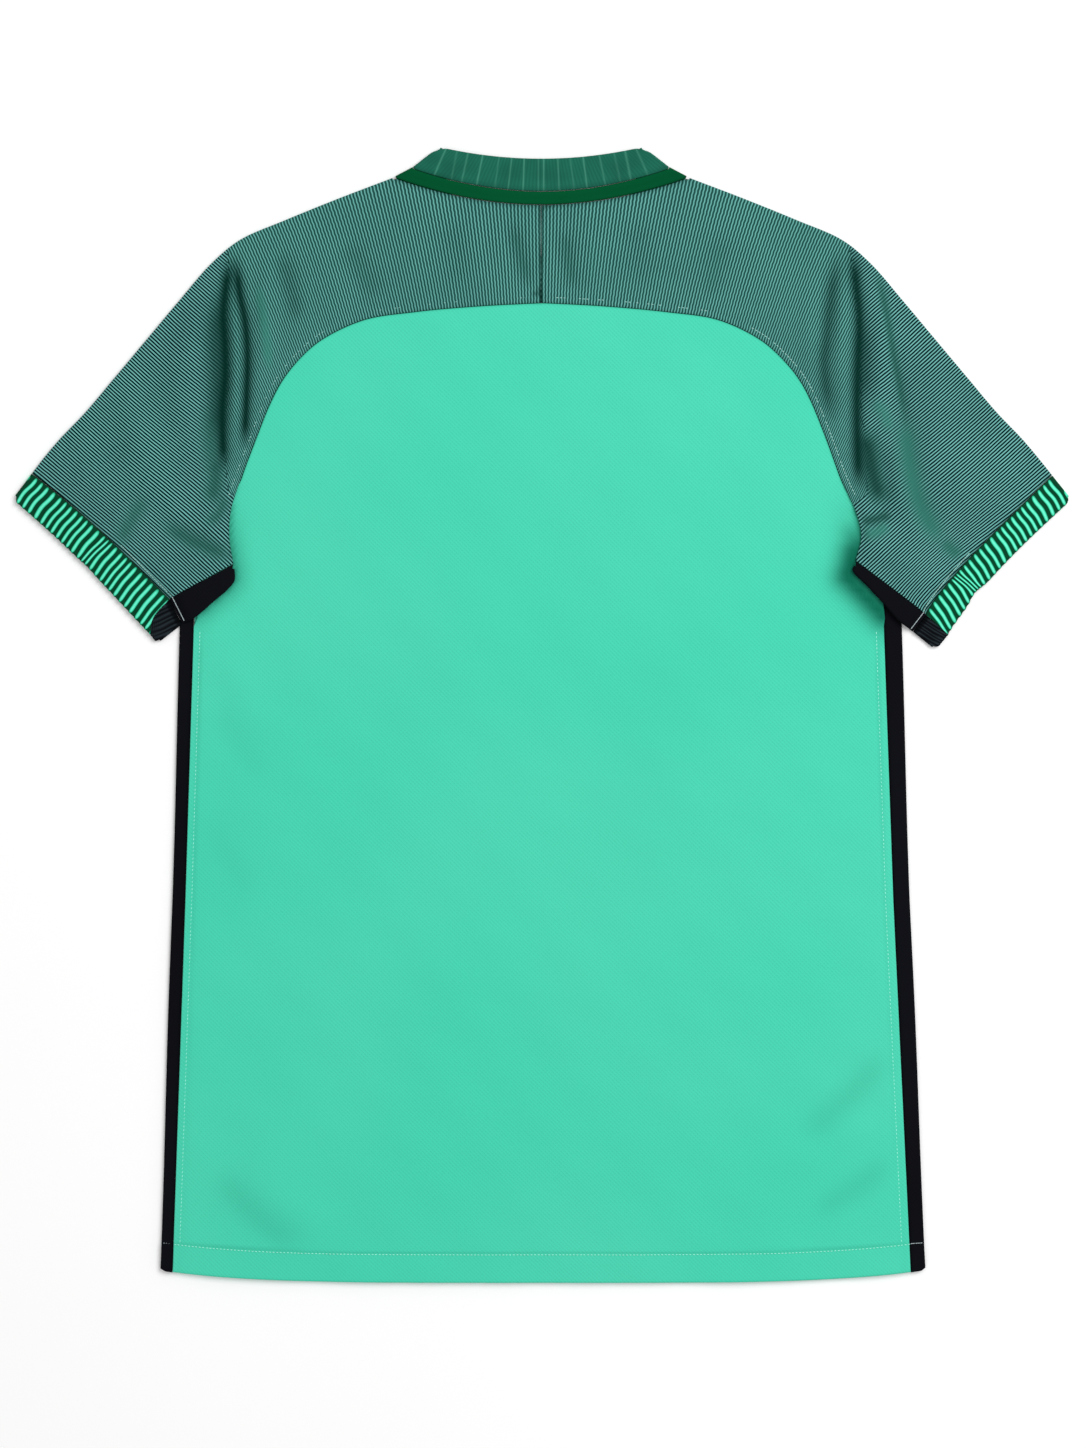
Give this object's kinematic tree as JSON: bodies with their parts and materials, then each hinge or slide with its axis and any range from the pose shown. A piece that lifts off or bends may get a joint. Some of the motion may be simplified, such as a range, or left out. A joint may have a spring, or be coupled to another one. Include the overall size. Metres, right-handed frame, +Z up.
{
  "type": "football jersey laid flat",
  "caption": "Short-sleeved raglan football jersey laid flat on its front, back up, with a ribbed collar, rib cuffs and side panels",
  "frame": {"origin": "the middle of the laid outline, on the surface that the jersey rests on", "axes": "+X to the right of the laid jersey seen from above, +Y towards the neck, +Z up"},
  "size_m": [0.7206, 0.7732, 0.0099],
  "materials": {
    "mint_cloth": "plain mint knit with a fine diagonal grain",
    "pinstripe_cloth": "teal knit with fine heathered pinstripes",
    "black_cloth": "plain black knit",
    "cuff_rib": "rib knit with mint and dark green stripes along its ribs",
    "black_rib": "black rib knit",
    "collar_rib": "green rib knit with thin paler lines",
    "neck_tape": "dark green knit tape"
  },
  "bodies": {
    "root": {"back_body": "mint_cloth", "front_body": "mint_cloth", "sleeve_left": "pinstripe_cloth", "sleeve_right": "pinstripe_cloth", "underarm_left": "black_cloth", "underarm_right": "black_cloth", "side_left": "black_cloth", "side_right": "black_cloth", "cuff_left": "cuff_rib", "cuff_right": "cuff_rib", "cuff_underarm_left": "black_rib", "cuff_underarm_right": "black_rib", "collar": "collar_rib", "neck_tape": "neck_tape"}
  },
  "joints": []
}
